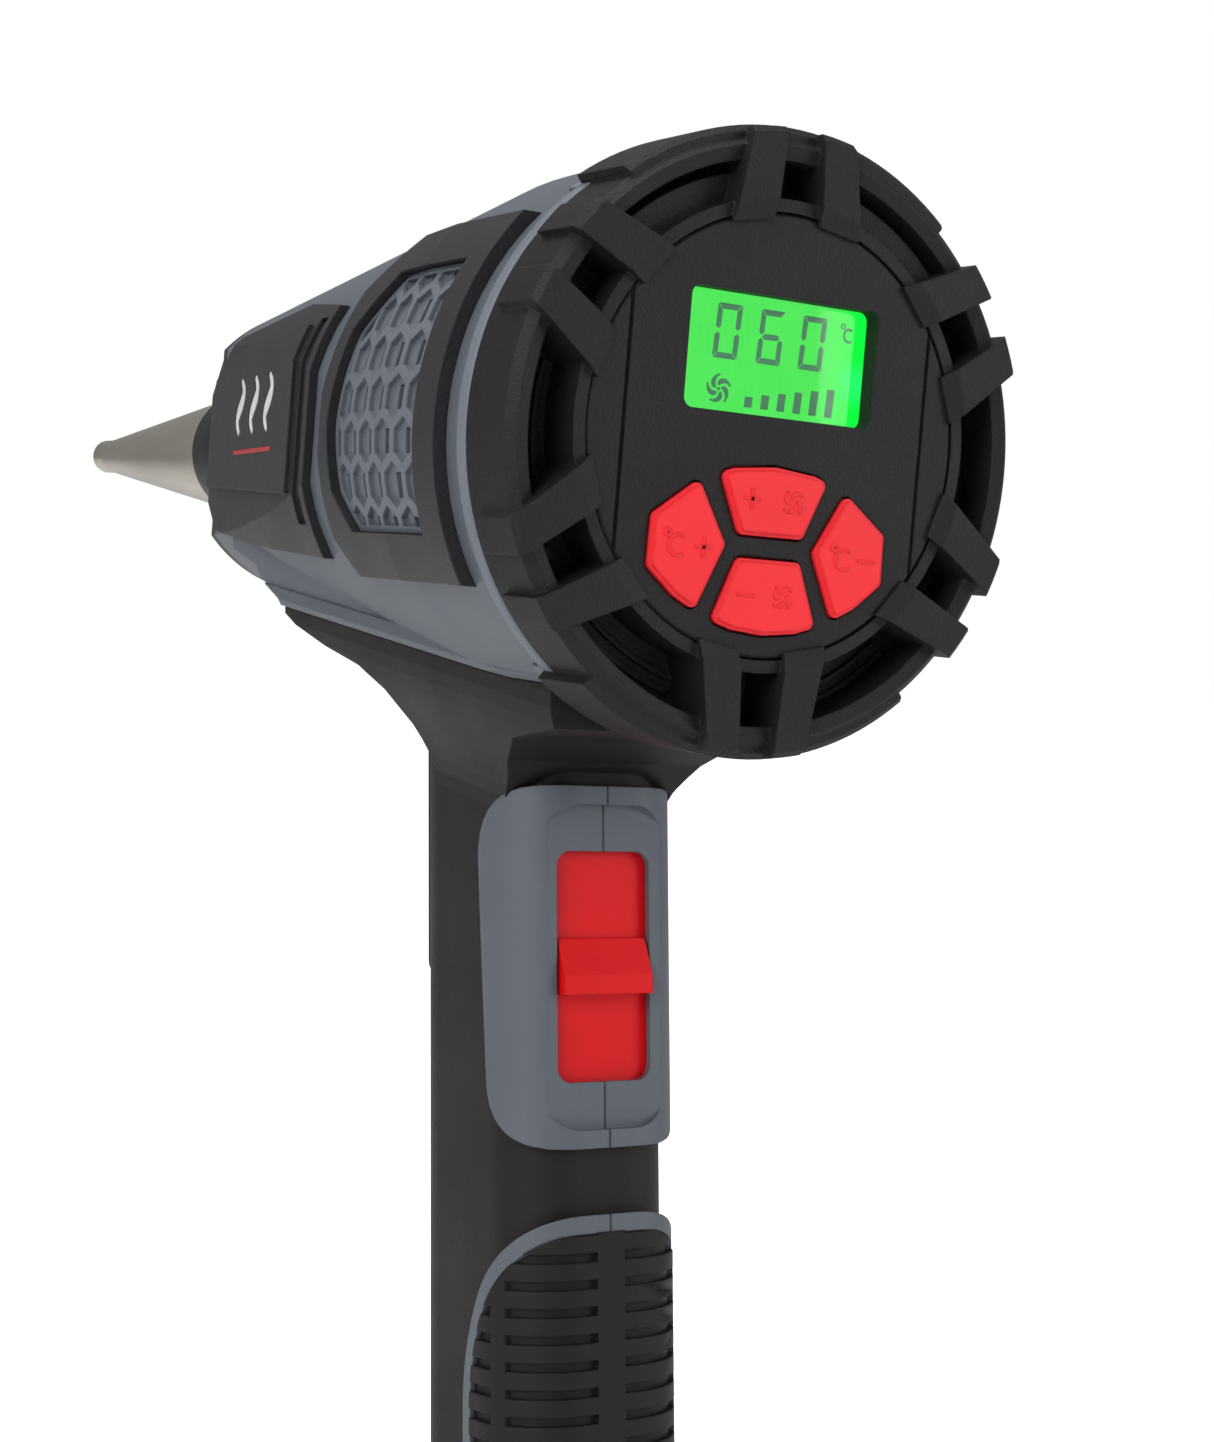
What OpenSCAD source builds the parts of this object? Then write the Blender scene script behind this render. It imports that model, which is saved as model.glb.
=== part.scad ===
// Hot-air gun with a display and keys in its rear cap.
// The barrel runs along Y, the handle hangs towards -Z, and the origin is the
// middle of the nozzle's mouth. "Back" is the end that the gun stands on.

/* [Barrel] */
// Length from the rest face at the back to the mouth of the nozzle
gun_l = 292; // [260:1:350]
// Length from the rest face to the front of the collar
barrel_l = 166; // [155:1:200]
// Distance from the rest face to the housing's shoulder
shoulder_y = 42; // [38:1:46]
// Radius at the front of the housing
front_r = 28.4; // [27:0.1:33]
// Half width across the flat sides at the front
front_half_w = 21.5; // [20.5:0.1:26]
// Distance from the rest face to where the flat sides begin
flat_y = 66; // [60:1:72]
// Wall of the moulded shells
wall = 2.4; // [2:0.1:2.8]
// Height of the keel's lower edge below the axis, over the handle
keel_drop = 37; // [35:0.5:38]
// Rise of the keel's lower edge towards the front
keel_rise = 4.5; // [3:0.5:6]
// Half width across the keel's lower edge
keel_half_w = 24.5; // [23:0.5:26]
// Length of the black collar at the front
collar_l = 4.5; // [3:0.1:6]

/* [Rear cap] */
// Diameter across the outer ends of the tread bars
cap_d = 92; // [88:0.5:110]
// Depth of the cap along the barrel
cap_l = 14; // [13:0.1:17]
// Radius of the round face plate
face_r = 32.5; // [31.5:0.1:34]
// How far the face plate sits above the barrel's axis
face_up = 1.2; // [0:0.1:2]
// How far the face plate sits below the tread bars
face_sink = 1.5; // [1.2:0.1:2]
// Thickness of the face plate
face_t = 3; // [2.6:0.1:3.4]
// Depth of the pockets between the tread bars
pocket_l = 8.5; // [6:0.1:9]
// Lateral offset of a tread bar's inner corner from the middle of its pair
bar_gap = 4.1; // [3.5:0.1:4.8]
// Width of a tread bar at its inner end
bar_w = 7.1; // [6:0.1:8]
// How far the bead stands back from the tread bars' ends
bead_drop = 1; // [0.6:0.1:1.6]

/* [Display and keys] */
// Width of the display window
window_w = 33.5; // [30:0.1:36]
// Height of the display window
window_h = 17.5; // [15:0.1:18.5]
// Middle of the display window above the face plate's middle
window_up = 11.7; // [11:0.1:12.2]
// Middle of the key cluster below the face plate's middle
keys_down = 16.2; // [15.8:0.1:16.6]
// Radius of the round outline that holds the keys
keys_r = 29; // [28:0.1:29.6]
// Clearance round each key
key_gap = 0.35; // [0.3:0.05:0.5]
// How far the keys stand above the face plate
key_rise = 1; // [0.5:0.1:1.1]
// Travel of a key
key_travel = 0.8; // [0.5:0.1:0.9]
// Thickness of the circuit board
board_t = 1.6; // [1:0.1:2]

/* [Side vents] */
// Length of the vent frame along the barrel
vent_l = 50; // [44:1:52]
// Height of the vent frame above the barrel's axis
vent_top = 31; // [28:0.5:32]
// Depth of the vent frame below the barrel's axis
vent_bottom = 24; // [22:0.5:26]
// Width of the vent frame's border
vent_border = 7; // [6:0.1:8]
// How far the vent frame stands proud of the housing
vent_rise = 2.2; // [1.5:0.1:2.6]
// Spacing of the mesh cells along the barrel
mesh_pitch = 7.6; // [7:0.1:9]
// Width of the ribs between mesh cells
mesh_rib = 1.5; // [1.2:0.1:1.8]

/* [Nozzle] */
// Outer radius of the nozzle's straight tube
tube_r = 16.4; // [16:0.1:17]
// Inner radius of the nozzle's mouth
outlet_r = 3.3; // [3:0.1:5]
// Length of the straight bore at the mouth
outlet_l = 6; // [4:0.5:8]
// Thickness of the nozzle's sheet steel
steel_t = 0.7; // [0.5:0.1:0.9]
// Length of the black heat guard in front of the collar
guard_l = 34; // [20:1:40]
// Thickness of the heat guard
guard_t = 0.6; // [0.5:0.1:1]

/* [Handle] */
// Width of the handle
handle_w = 30.5; // [28:0.5:37]
// Depth of the handle from back to front
handle_d = 39; // [36:0.5:44]
// Length of the handle below the barrel's axis, along the handle
handle_l = 192; // [180:1:232]
// Lean of the handle
handle_rake = 9.5; // [8:0.5:11]
// Distance from the rest face to the handle's centre line, on the barrel's axis
handle_y = 72; // [70:0.5:74]
// Corner radius of the handle's section
handle_corner = 10.5; // [9:0.5:12]
// Thickness of the soft overmould
skin = 2; // [1.6:0.1:2.4]
// How far the palm pad stands proud of the handle
pad_rise = 2.2; // [0.5:0.1:3]
// How far the switch's bezel stands proud of the handle
bezel_rise = 2; // [1:0.1:2.6]
// Distance along the handle from the barrel's axis to the middle of the switch
switch_down = 88; // [86:0.5:90]
// Length of the window that the slide shows through
slot_l = 37; // [34:0.5:40]
// Width of the window that the slide shows through
slot_w = 17.5; // [16:0.1:18.4]
// Travel of the slide each way from its middle position
slide_travel = 3; // [2.5:0.1:3.5]
// Radius of the bore that the mains lead enters by
inlet_r = 3.9; // [3.2:0.1:5]
// Spacing of the grooves in the palm pad
groove_pitch = 4.2; // [3.6:0.1:5]

/* [Fan and heater] */
// Radius of the fan wheel
fan_r = 24; // [20:0.5:24.5]
// Radius of the motor
motor_r = 14; // [11.6:0.1:17]
// Length of the motor
motor_l = 28; // [24:1:30]
// Radius of the motor shaft
shaft_r = 1.6; // [1.3:0.1:2]
// Number of fan blades
blades = 9; // [7:1:11]

/* [Hidden] */
$fn = 96;

cap_r = cap_d / 2;
rim_r = cap_r - 1.2;
bead_r = cap_r - bead_drop;
shell_rear_r = rim_r - 0.2;
shoulder_r = shell_rear_r - 0.6;
bead_l = 3;
shell_y = cap_l + bead_l;
shell_end = barrel_l - collar_l;
flat_half_w = shell_r(flat_y);
front_x = max(front_half_w, tube_r + guard_t + wall + 0.6);
// Soft black of the overmoulds, and the blue-grey of the shells
black = [0.07, 0.07, 0.08];
shell_grey = [0.33, 0.36, 0.40];
key_red = [0.90, 0.08, 0.10];

// Radius of the round part of the housing at a distance from the rest face
function shell_r(y) = y < shoulder_y
    ? shell_rear_r + (shoulder_r - shell_rear_r) * (y - shell_y) / (shoulder_y - shell_y)
    : shoulder_r + (front_r - shoulder_r) * (y - shoulder_y) / (barrel_l - shoulder_y);
// Half width between the flat sides
function flat_x(y) = flat_half_w + (front_x - flat_half_w) * (y - flat_y) / (barrel_l - flat_y);

// ---- placing ----
module from_back() translate([0, -gun_l, 0]) children();
module in_handle() from_back() translate([0, handle_y, 0]) rotate([-handle_rake, 0, 0]) children();
// Turns a sketch of radius and distance about the barrel's axis, between two clock angles
module turned(from = 0, to = 360) rotate([-90, 0, 0]) rotate([0, 0, -to])
    rotate_extrude(angle = to - from) children();
// Stands a sketch, as seen from the back, up between two distances along the barrel
module slab(y, l) translate([0, y + l, 0]) rotate([90, 0, 0]) linear_extrude(l) children();
// Pushes a sketch of distance along the barrel and height through from side to side
module through(x0, x1) translate([x0, 0, 0]) rotate([90, 0, 90]) linear_extrude(x1 - x0) children();
module on_both_sides() {
    children();
    mirror([1, 0, 0]) children();
}
module rounded(r) offset(r, $fn = 32) offset(delta = -r) children();
module rod(p, r, l) translate(p) rotate([-90, 0, 0]) cylinder(r = r, h = l);
module cross_rod(x0, x1, r) translate([x0, 0, 0]) rotate([0, 90, 0]) cylinder(r = r, h = x1 - x0);

// ---- the barrel's outside shape, grown outwards, between two distances ----
module between_flats(grow) {
    wide = flat_x(0) + grow;
    narrow = flat_x(barrel_l + 20) + grow;
    translate([0, 0, -cap_r]) linear_extrude(cap_d)
        polygon([[-wide, 0], [wide, 0], [narrow, barrel_l + 20], [-narrow, barrel_l + 20]]);
}
module barrel_form(grow, y0, y1) intersection() {
    turned() polygon(concat([[0, y0], [shell_r(y0) + grow, y0]],
        y0 < shoulder_y ? [[shoulder_r + grow, shoulder_y]] : [],
        [[shell_r(y1) + grow, y1], [0, y1]]));
    between_flats(grow);
}

// ---- the handle's section, grown outwards ----
module handle_section(grow) {
    r = handle_corner + grow;
    w = handle_w / 2 + grow;
    d = handle_d / 2 + grow;
    square([2 * (w - r), 2 * d], center = true);
    square([2 * w, 2 * (d - r)], center = true);
    for (sx = [-1, 1], sy = [-1, 1]) translate([sx * (w - r), sy * (d - r)]) circle(r);
}
module handle_form(grow, down0, down1) translate([0, 0, -down1])
    linear_extrude(down1 - down0) handle_section(grow);

// ---- screws through the housing: distance from the back, height, seat of the head ----
barrel_screws = [
    [flat_y + 8, shell_r(flat_y + 8) - wall - 6.2, 20],
    [flat_y + 8, -(shell_r(flat_y + 8) - wall - 6.2), 20],
    [barrel_l - 26, shell_r(barrel_l - 26) - wall - 4.2, 14],
    [barrel_l - 26, -(shell_r(barrel_l - 26) - wall - 4.2), 14]];
// Offset from the handle's centre line, distance down the handle, seat of the head
handle_screw_y = handle_d / 2 - 10.5;
handle_seat = handle_w / 2 - 4.5;
handle_screws = [[handle_screw_y, 58, handle_seat], [handle_screw_y, 128, handle_seat],
    [handle_screw_y, handle_l - 14, handle_seat]];
screw_r = 1.3;
screw_head_r = 2.7;
boss_r = 3.4;
module at_shell_screws() {
    for (s = barrel_screws) from_back() translate([0, s[0], s[1]]) children();
    for (s = handle_screws) in_handle() translate([0, s[0], -s[1]]) children();
}
screw_reach = 8;
head_play = 0.3;
head_l = 1.8;
recess_l = 3.2;
recess_w = 0.7;
past_shell = 40;
module shell_screw_form(seat, reach, play) {
    cross_rod(-screw_reach, seat, screw_r);
    cross_rod(seat, seat + reach, screw_head_r + play);
}
module screw_passages() {
    for (s = barrel_screws) from_back() translate([0, s[0], s[1]])
        shell_screw_form(s[2], past_shell, head_play);
    for (s = handle_screws) in_handle() translate([0, s[0], -s[1]])
        shell_screw_form(s[2], past_shell, head_play);
}

// ---- the housing ----
lip = 1.3;
bezel_l = 58;
dish_l = 52;
dish_w = 24;
dish_rise = 0.5;
channel_w = 22;
channel_l = slot_l + 4 * slide_travel + 1.6;
back_of_handle = handle_d / 2;
channel_out = back_of_handle + dish_rise - lip;
channel_floor_t = 1.2;
channel_in = back_of_handle - skin - wall + channel_floor_t;
module bezel_outline() rounded(11) polygon([[-back_of_handle - 20, -switch_down + bezel_l / 2],
    [-back_of_handle + 11, -switch_down + bezel_l / 2], [-back_of_handle + 7.5, -switch_down - bezel_l / 2],
    [-back_of_handle - 20, -switch_down - bezel_l / 2]]);
module bezel_form(play) in_handle() {
    intersection() {
        handle_form(bezel_rise, switch_down - bezel_l / 2 - 1, switch_down + bezel_l / 2 + 1);
        through(-handle_w, handle_w) offset(delta = play) bezel_outline();
    }
}
module bezel_dish() in_handle() translate([0, -back_of_handle - dish_rise, -switch_down]) rotate([90, 0, 0])
    linear_extrude(bezel_rise + 1) rounded(7) square([dish_w, dish_l], center = true);
module switch_openings() in_handle() translate([0, 0, -switch_down]) {
    translate([0, -channel_out, 0]) rotate([90, 0, 0]) linear_extrude(5)
        rounded(2.5) square([slot_w, slot_l], center = true);
    translate([-channel_w / 2, -channel_out, -channel_l / 2])
        cube([channel_w, channel_out - channel_in, channel_l]);
    translate([-3.4, -channel_in - 1, -stem_l / 2 - slide_travel - 0.5])
        cube([6.8, channel_floor_t + 2, stem_l + 2 * slide_travel + 1]);
}
// ---- the keel under the barrel, in its own leaning frame, and its beads ----
keel_y = 32;
keel_end = 120;
keel_tip = 154;
keel_h = 18;
keel_flare = 3.5;
module along_keel() translate([0, keel_y, -keel_drop]) rotate([keel_rise, 0, 0]) children();
module keel_outline() {
    top_x = keel_half_w + keel_flare;
    polygon([[-top_x, keel_h], [top_x, keel_h], [keel_half_w, 0], [-keel_half_w, 0]]);
    for (s = [-1, 1]) translate([s * keel_half_w, 0]) polygon([[-s, 3], [s, 2.6], [s * 1.2, 0.5],
        [s * 0.6, -0.5], [-s, -0.5]]);
}
module keel_form() intersection() {
    along_keel() slab(-keel_y, keel_tip + 10) keel_outline();
    through(-cap_r, cap_r) polygon([[shell_y, 0], [shell_y, -cap_r], [keel_end, -cap_r], [keel_end, -29.5],
        [keel_end + 10, -26], [keel_end + 12, -23.5], [keel_end + 22, -21], [keel_end + 24, -18.5],
        [keel_tip, 0]]);
    rod([0, shell_y, 0], shell_rear_r, barrel_l);
    between_flats(-0.1);
}
module housing_envelope() {
    from_back() barrel_form(0, shell_y, shell_end);
    from_back() keel_form();
    in_handle() handle_form(-skin, 24, handle_l);
    bezel_form(0);
}
module housing_hollow() {
    from_back() barrel_form(-wall, shell_y - 1, shell_end + 1);
    in_handle() handle_form(-skin - wall, 24, handle_l - wall);
}
// Outline of the vent's window, seen from the side
module vent_outline(border) {
    back = shell_y + 3 + border;
    front = shell_y + 3 + vent_l - border * 0.7;
    top = vent_top - border;
    bottom = -vent_bottom + border;
    polygon([[back, top], [front - 12, top], [front - 2, top - 9], [front, 0], [front - 1, bottom + 6],
        [front - 7, bottom], [back + 1, bottom]]);
}
cap_boss_r = 3.4;
boss_ring_r = shell_rear_r - wall - cap_boss_r + 0.4;
cap_head_r = 2.1;
cap_screw_angles = [30, 150, 210, 330];
module at_cap_screws() for (a = cap_screw_angles)
    translate([boss_ring_r * cos(a), 0, boss_ring_r * sin(a)]) children();
cap_floor = face_sink + pocket_l;
floor_t = 2;
cap_screw_l = 14;
module housing_solid() difference() {
    union() {
        difference() {
            housing_envelope();
            housing_hollow();
        }
        intersection() {
            housing_envelope();
            at_shell_screws() cross_rod(-handle_w * 1.2, handle_w * 1.2, boss_r);
        }
        from_back() at_cap_screws() rod([0, cap_floor + floor_t, 0], cap_boss_r, 18);
    }
    screw_passages();
    from_back() at_cap_screws() rod([0, cap_floor, 0], screw_r, cap_screw_l);
    from_back() on_both_sides() through(0, cap_r) vent_outline(vent_border);
    bezel_dish();
    switch_openings();
    in_handle() translate([0, 0, -handle_l - 1]) cylinder(r = gland_neck_r, h = wall + 2);
}
module half(side) intersection() {
    children();
    translate([side > 0 ? 0 : -2 * cap_d, -2 * gun_l, -2 * gun_l]) cube([2 * cap_d, 4 * gun_l, 4 * gun_l]);
}
module housing_left() color(shell_grey) half(-1) housing_solid();
module housing_right() color(shell_grey) half(1) housing_solid();

// ---- rear cap ----
pair_angles = [90, 30, -30, -90, -150, 150];
tall_sectors = [[52, 128], [-128, -52]];
socket_r = face_r + 0.2;
inner_wall_r = socket_r + 1.9;
outer_wall_r = rim_r - 3.4;
tab_l = 2.5;
ridge_pitch = 2.1;
ridge_w = 0.8;
bar_ramp = 3.8;
module bar_pair() on_both_sides() polygon([[bar_gap, face_r - 1.2], [bar_gap + bar_w, face_r - 2.5],
    [bar_gap + bar_w - 2.9, cap_r + 2], [bar_gap - 1, cap_r + 2]]);
module on_face_plate() translate([0, 0, face_up]) children();
module cap_wall() on_face_plate() turned() polygon([[socket_r, face_sink],
    [inner_wall_r, face_sink], [inner_wall_r, cap_l], [socket_r, cap_l]]);
module board_ledge() on_face_plate() {
    turned() polygon([[socket_r - 2.6, board_y + board_t], [socket_r + 0.1, board_y + board_t],
        [socket_r + 0.1, cap_l], [socket_r - 2.6, cap_l]]);
    at_board_screws() rod([0, board_y + board_t, 0], 3.2, cap_l - board_y - board_t);
}
module rear_cap() color(black) from_back() difference() {
    union() {
        cap_wall();
        board_ledge();
        turned() polygon([[outer_wall_r, face_sink + 0.6], [rim_r - 1.4, face_sink], [rim_r, face_sink + 1.4],
            [rim_r, cap_l], [outer_wall_r, cap_l]]);
        difference() {
            turned() polygon([[inner_wall_r - 2, cap_floor], [outer_wall_r + 0.2, cap_floor],
                [outer_wall_r + 0.2, cap_floor + floor_t], [inner_wall_r - 2, cap_floor + floor_t]]);
            translate([0, 0, face_up]) rod([0, 0, 0], socket_r, cap_l);
        }
        for (s = tall_sectors) turned(s[0], s[1]) polygon([[rim_r - 0.5, face_sink + 1],
            [cap_r - 0.6, face_sink + 1], [cap_r + 0.4, face_sink + 2], [cap_r + 0.4, cap_l + tab_l],
            [bead_r + 0.1, cap_l + tab_l],
            [bead_r + 0.1, cap_l - 0.5], [rim_r - 0.5, cap_l - 0.5]]);
        for (a = [60, 120]) turned(a - 17, a + 17)
            polygon([[inner_wall_r - 0.5, face_sink + 3], [outer_wall_r - 1.6, face_sink + 2.4],
                [outer_wall_r - 1.6, cap_floor + 0.5], [inner_wall_r - 0.5, cap_floor + 0.5]]);
        for (a = [0, -60, -120, 180], i = [0:2]) turned(a - 14, a + 14)
            translate([inner_wall_r + 1.6 + ridge_pitch * i, cap_floor - 0.9]) square([ridge_w, 1.4]);
        intersection() {
            on_face_plate() turned() polygon([[face_r - 2, face_sink - 0.2], [face_r - 2 + bar_ramp, 0],
                [cap_r + 2, 0], [cap_r + 2, cap_floor + 1], [socket_r, cap_floor + 1], [socket_r, face_sink],
                [face_r - 2, face_sink]]);
            turned() polygon([[0, 0], [cap_r - 1, 0], [cap_r, 1], [cap_r, cap_floor + 1], [0, cap_floor + 1]]);
            for (a = pair_angles) slab(0, cap_floor + 1) translate([0, face_up]) rotate(a - 90) bar_pair();
        }
    }
    at_cap_screws() {
        rod([0, cap_floor - 1, 0], screw_r, floor_t + 2);
        rod([0, cap_floor + floor_t, 0], cap_boss_r + 0.1, cap_l);
    }
    on_face_plate() at_board_screws() rod([0, board_y, 0], board_screw_bore, board_screw_l);
}
module seam_bead() color([0.42, 0.45, 0.49]) from_back() {
    turned() polygon([[shell_rear_r - 1.4, cap_l], [bead_r - 0.5, cap_l], [bead_r, cap_l + 0.5],
        [bead_r, shell_y - 0.5], [bead_r - 0.4, shell_y], [shell_rear_r - 1.4, shell_y]]);
    for (s = tall_sectors) turned(s[0] - 1, s[1] + 1) polygon([[shell_rear_r + 0.02, shell_y - 0.4],
        [bead_r, shell_y - 0.4], [bead_r, shell_y + 2], [bead_r - 0.3, shell_y + 2.3],
        [shell_rear_r + 0.02, shell_y + 2.3]]);
}
module cap_screws() color("silver") from_back() at_cap_screws() {
    rod([0, cap_floor, 0], screw_r, cap_screw_l);
    difference() {
        rod([0, cap_floor - head_l, 0], cap_head_r, head_l);
        for (t = [0, 90]) translate([0, cap_floor - head_l * 1.5, 0]) rotate([0, t, 0])
            translate([-recess_l / 2, 0, -recess_w / 2]) cube([recess_l, head_l, recess_w]);
    }
}

// ---- face plate, display and keys ----
lens_t = 1;
face_back = face_sink + face_t;
module_t = 3;
board_y = face_back + lens_t + module_t + 0.2;
flange_t = 0.9;
key_back = face_back + 0.1 + flange_t;
// Sketches of the four keys, about the middle of the face plate
key_split = 1.7;
module key_top() intersection() {
    translate([0, -keys_down - 23.9]) circle(keys_down + 19.6);
    polygon([[-10.6, -keys_down + 13], [10.6, -keys_down + 13], [5.6, -keys_down + key_split],
        [-5.6, -keys_down + key_split]]);
}
module key_bottom() intersection() {
    circle(keys_r);
    polygon([[-5.5, -keys_down - key_split], [5.5, -keys_down - key_split], [10.4, -keys_down - 14],
        [-10.4, -keys_down - 14]]);
}
module key_side() intersection() {
    circle(keys_r);
    polygon([[7.9, -keys_down], [13.2, -keys_down + 9], [20.7, -keys_down + 3.5], [20.9, -keys_down - 5.6],
        [12.4, -keys_down - 9.8]]);
}
module key_sketch(which) rounded(1.1)
    if (which == 0) key_top();
    else if (which == 1) key_bottom();
    else if (which == 2) mirror([1, 0]) key_side();
    else key_side();
key_centres = [[0, -keys_down + 6.4], [0, -keys_down - 6.6], [-15, -keys_down - 0.6], [15, -keys_down - 0.6]];
module on_face() from_back() on_face_plate() children();
module key(which) on_face() {
    slab(face_sink - key_rise, 0.6) offset(delta = -0.5) key_sketch(which);
    slab(face_sink - key_rise + 0.5, face_t + key_rise - 0.3) key_sketch(which);
    slab(key_back - flange_t, flange_t) offset(delta = 1) key_sketch(which);
    c = key_centres[which];
    rod([c[0], key_back - 0.2, c[1]], 1.6, key_stop - key_back - key_travel);
}
key_switch_h = 2;
key_stop = board_y - key_switch_h;
module key_fan_up() color(key_red) key(0);
module key_fan_down() color(key_red) key(1);
module key_heat_up() color(key_red) key(2);
module key_heat_down() color(key_red) key(3);
chord_x = face_r * 0.805;
module face_plate() color(black) on_face() difference() {
    turned() polygon([[0, face_sink], [face_r - 0.5, face_sink], [face_r, face_sink + 0.5],
        [face_r, board_y], [face_r - 1.6, board_y], [face_r - 1.6, face_back], [0, face_back]]);
    slab(face_sink - 1, face_t + 2) translate([0, window_up]) rounded(1.5)
        square([window_w, window_h], center = true);
    slab(face_sink - 1, 0.6 + 1) on_both_sides() translate([chord_x, -face_r]) square([0.7, 2 * face_r]);
    for (k = [0:3]) slab(face_sink - 1, face_t + 2) offset(delta = key_gap) key_sketch(k);
}
module display_lens() color([0.6, 0.95, 0.6]) on_face() slab(face_back, lens_t)
    translate([0, window_up]) square([window_w + 2, window_h + 1.6], center = true);
module display_module() color("white") on_face() slab(face_back + lens_t, module_t)
    translate([0, window_up + 0.6]) square([window_w + 4, window_h + 2.2], center = true);
module control_board() color([0.05, 0.35, 0.15]) on_face() difference() {
    rod([0, board_y, 0], face_r - 0.3, board_t);
    at_board_screws() rod([0, board_y - 1, 0], board_screw_bore, board_t + 2);
}
board_screw_angles = [10, 170, 270];
board_screw_r = socket_r - 4;
board_screw_bore = 1.3;
board_screw_l = board_t + 3;
module at_board_screws() for (a = board_screw_angles)
    translate([board_screw_r * cos(a), 0, board_screw_r * sin(a)]) children();
module board_screws() color("silver") on_face() at_board_screws() {
    rod([0, board_y, 0], board_screw_bore, board_screw_l);
    rod([0, board_y - 1.2, 0], 2, 1.2);
}
module key_switches() color([0.2, 0.2, 0.2]) on_face() for (c = key_centres) {
    rod([c[0], key_stop + 0.4, c[1]], 1.7, 0.7);
    translate([c[0] - 3, key_stop + 1, c[1] - 3]) cube([6, board_y - key_stop - 1, 6]);
}

// ---- side vents ----
module vent_frame() difference() {
    intersection() {
        difference() {
            barrel_form(vent_rise, shell_y, barrel_l);
            barrel_form(0, shell_y - 1, barrel_l + 1);
        }
        through(0, cap_r + 5) vent_outline(0);
    }
    through(0, cap_r + 6) vent_outline(vent_border);
}
// The mesh cells are upright hexagons in staggered rows, each with a slit in its floor
row_pitch = mesh_pitch * cos(30);
cell_half_w = (mesh_pitch - mesh_rib) / 2;
cell_side = cell_half_w * tan(30);
cell_depth = 0.9;
slit_y = -cell_half_w + 0.8;
slit_w = 2.8;
slit_h = 3.8;
mesh_mid = [shell_y + 3 + vent_l / 2 + 1, (vent_top - vent_bottom) / 2];
module mesh_cell() polygon([[0, 2 * cell_side], [cell_half_w, cell_side], [cell_half_w, -cell_side],
    [0, -2 * cell_side], [-cell_half_w, -cell_side], [-cell_half_w, cell_side]]);
module mesh_cells() for (i = [-3:2], j = [-3:3])
    translate([mesh_mid[0] + (i + abs(j) % 2 / 2) * mesh_pitch, mesh_mid[1] + j * row_pitch]) children();
module vent_grille() difference() {
    intersection() {
        difference() {
            barrel_form(0.6, shell_y, barrel_l);
            barrel_form(-wall, shell_y - 1, barrel_l + 1);
        }
        through(0, cap_r + 5) offset(delta = -0.15) vent_outline(vent_border);
    }
    intersection() {
        through(0, cap_r + 6) offset(delta = -1.2) vent_outline(vent_border);
        union() {
            difference() {
                through(0, cap_r + 6) mesh_cells() mesh_cell();
                barrel_form(0.6 - cell_depth, shell_y - 1, barrel_l + 1);
            }
            through(0, cap_r + 6) mesh_cells() translate([slit_y, -slit_h / 2]) square([slit_w, slit_h]);
        }
    }
}
module vent_frame_right() color(black) from_back() vent_frame();
module vent_frame_left() color(black) from_back() mirror([1, 0, 0]) vent_frame();
module vent_grille_right() color([0.42, 0.45, 0.50]) from_back() vent_grille();
module vent_grille_left() color([0.42, 0.45, 0.50]) from_back() mirror([1, 0, 0]) vent_grille();

// ---- badge shells on the flat sides ----
badge_back = shell_y + 3 + vent_l + 12;
module badge_outline() polygon([[badge_back, 21], [badge_back + 22, 23], [barrel_l - 22, 19.5],
    [barrel_l - 3, 12], [barrel_l - 2, 0], [barrel_l - 3, -12], [barrel_l - 12, -17.5],
    [badge_back + 32, -20.5], [badge_back, -21.5]]);
module panel_outline() polygon([[badge_back + 9, 18], [barrel_l - 14, 15.5], [barrel_l - 5, 9],
    [barrel_l - 5, -9], [badge_back + 9, -11]]);
module badge_shell() difference() {
    union() {
        intersection() {
            difference() {
                barrel_form(1.6, shell_y, barrel_l);
                barrel_form(0, shell_y - 1, barrel_l + 1);
            }
            through(0, cap_r) badge_outline();
        }
        intersection() {
            difference() {
                barrel_form(2.6, shell_y, barrel_l);
                barrel_form(0, shell_y - 1, barrel_l + 1);
            }
            through(0, cap_r) panel_outline();
        }
    }
    intersection() {
        difference() {
            barrel_form(4, shell_y, barrel_l);
            barrel_form(0.6, shell_y - 1, barrel_l + 1);
        }
        through(0, cap_r) translate([badge_back + 2.5, -16]) square([4.5, 35]);
    }
    keel_form();
}
module badge_shell_right() color(black) from_back() badge_shell();
module badge_shell_left() color(black) from_back() mirror([1, 0, 0]) badge_shell();

// ---- collar, heat guard and nozzle ----
nozzle_end_r = outlet_r + steel_t;
function cone_r(y) = tube_r + (nozzle_end_r - tube_r) * (y - barrel_l) / (gun_l - outlet_l - barrel_l);
module front_collar() color(black) from_back() difference() {
    union() {
        barrel_form(0, shell_end, barrel_l - 1);
        barrel_form(-1, shell_end, barrel_l);
        barrel_form(-wall, shell_end - 5, barrel_l - 1);
    }
    rod([0, shell_end - 6, 0], tube_r + guard_t + 0.05, collar_l + 12);
}
tube_start = barrel_l - 62;
module heat_guard() color([0.12, 0.12, 0.13]) from_back() turned() polygon([
    [tube_r, shell_end - 5], [tube_r + guard_t, shell_end - 5], [tube_r + guard_t, barrel_l],
    [cone_r(barrel_l + guard_l) + guard_t, barrel_l + guard_l],
    [cone_r(barrel_l + guard_l), barrel_l + guard_l],
    [tube_r, barrel_l]]);
module nozzle() color([0.80, 0.78, 0.72]) from_back() turned() polygon([
    [tube_r - steel_t, tube_start], [tube_r, tube_start], [tube_r, barrel_l],
    [nozzle_end_r, gun_l - outlet_l], [nozzle_end_r, gun_l - 0.3],
    [nozzle_end_r - 0.3, gun_l], [outlet_r, gun_l],
    [outlet_r, gun_l - outlet_l], [tube_r - steel_t, barrel_l]]);

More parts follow.
